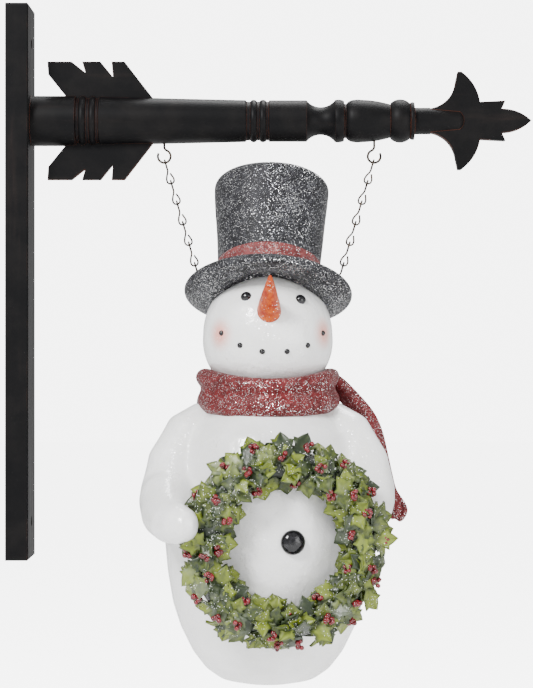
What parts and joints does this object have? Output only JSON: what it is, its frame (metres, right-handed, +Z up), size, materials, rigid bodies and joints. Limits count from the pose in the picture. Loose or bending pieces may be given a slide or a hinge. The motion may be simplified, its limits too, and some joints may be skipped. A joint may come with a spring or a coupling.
{
  "type": "hanging snowman ornament with wall bracket",
  "caption": "Snowman in a top hat with scarf and wreath, hung by two jack chains from hooks in a wall bracket shaped as an arrow.",
  "frame": {"origin": "centre of the backboard's wall face", "axes": "+X out from the wall along the arm, +Z up, the figure looks towards -Y"},
  "size_m": [0.4815, 0.2497, 0.6242],
  "materials": {
    "bracket_paint": "black satin paint on turned and sawn wood, worn brown at the edges",
    "bronze_wire": "dark antique bronze",
    "screw_steel": "zinc plated steel",
    "snow": "pearl white casting resin with fine glitter",
    "hat_glitter": "charcoal casting resin under silver glitter",
    "band_glitter": "dusty rose glitter",
    "scarf_glitter": "deep red casting resin under white glitter",
    "nose_glitter": "orange glitter",
    "coal": "glossy black",
    "foliage": "olive and lime green with dark recesses",
    "berry": "glossy crimson"
  },
  "bodies": {
    "bracket": {"backboard": "bracket_paint", "arm_shaft": "bracket_paint", "upper_vane": "bracket_paint", "lower_vane": "bracket_paint", "arrowhead": "bracket_paint", "arm_screw": "screw_steel", "wall_side_hook": "bronze_wire", "tip_side_hook": "bronze_wire"},
    "hook_links": {"wall_side_hook_link": "bronze_wire", "tip_side_hook_link": "bronze_wire"},
    "wall_chain": {"wall_side_chain": "bronze_wire"},
    "tip_chain": {"tip_side_chain": "bronze_wire"},
    "eye_links": {"wall_side_eye_link": "bronze_wire", "tip_side_eye_link": "bronze_wire"},
    "figure": {"wall_side_screw_eye": "bronze_wire", "tip_side_screw_eye": "bronze_wire", "hat_crown": "hat_glitter", "hat_brim": "hat_glitter", "hat_band": "band_glitter", "head": "snow", "eyes": "coal", "mouth_coals": "coal", "carrot_nose": "nose_glitter", "scarf_wrap": "scarf_glitter", "scarf_tail": "scarf_glitter", "torso": "snow", "wall_side_arm": "snow", "tip_side_arm": "snow", "belly_button": "coal", "wreath_ring": "foliage", "wreath_leaves": "foliage", "berry_clusters": "berry"}
  },
  "joints": [
    {"name": "hook_swing", "type": "hinge", "parent": "bracket", "child": "hook_links", "pos_m": [0.2402, 0, 0.1105], "axis": [1, 0, 0], "range_deg": [-35, 35]},
    {"name": "wall_chain_sway", "type": "hinge", "parent": "hook_links", "child": "wall_chain", "pos_m": [0.14834, 0, 0.09356], "axis": [0, 1, 0], "range_deg": [-8, 8]},
    {"name": "tip_chain_sway", "type": "hinge", "parent": "hook_links", "child": "tip_chain", "pos_m": [0.33206, 0, 0.09356], "axis": [0, 1, 0], "range_deg": [-8.5, 8.5]},
    {"name": "eye_link_sway", "type": "hinge", "parent": "wall_chain", "child": "eye_links", "pos_m": [0.17041, 0, 0.01791], "axis": [0, 1, 0], "range_deg": [-12, 12]},
    {"name": "figure_nod", "type": "hinge", "parent": "eye_links", "child": "figure", "pos_m": [0.2402, 0, -0.00259], "axis": [1, 0, 0], "range_deg": [-20, 20]}
  ],
  "couplings": [
    {"joint": "tip_chain_sway", "follows": "wall_chain_sway", "ratio": 1},
    {"joint": "eye_link_sway", "follows": "wall_chain_sway", "ratio": -1.3162}
  ]
}
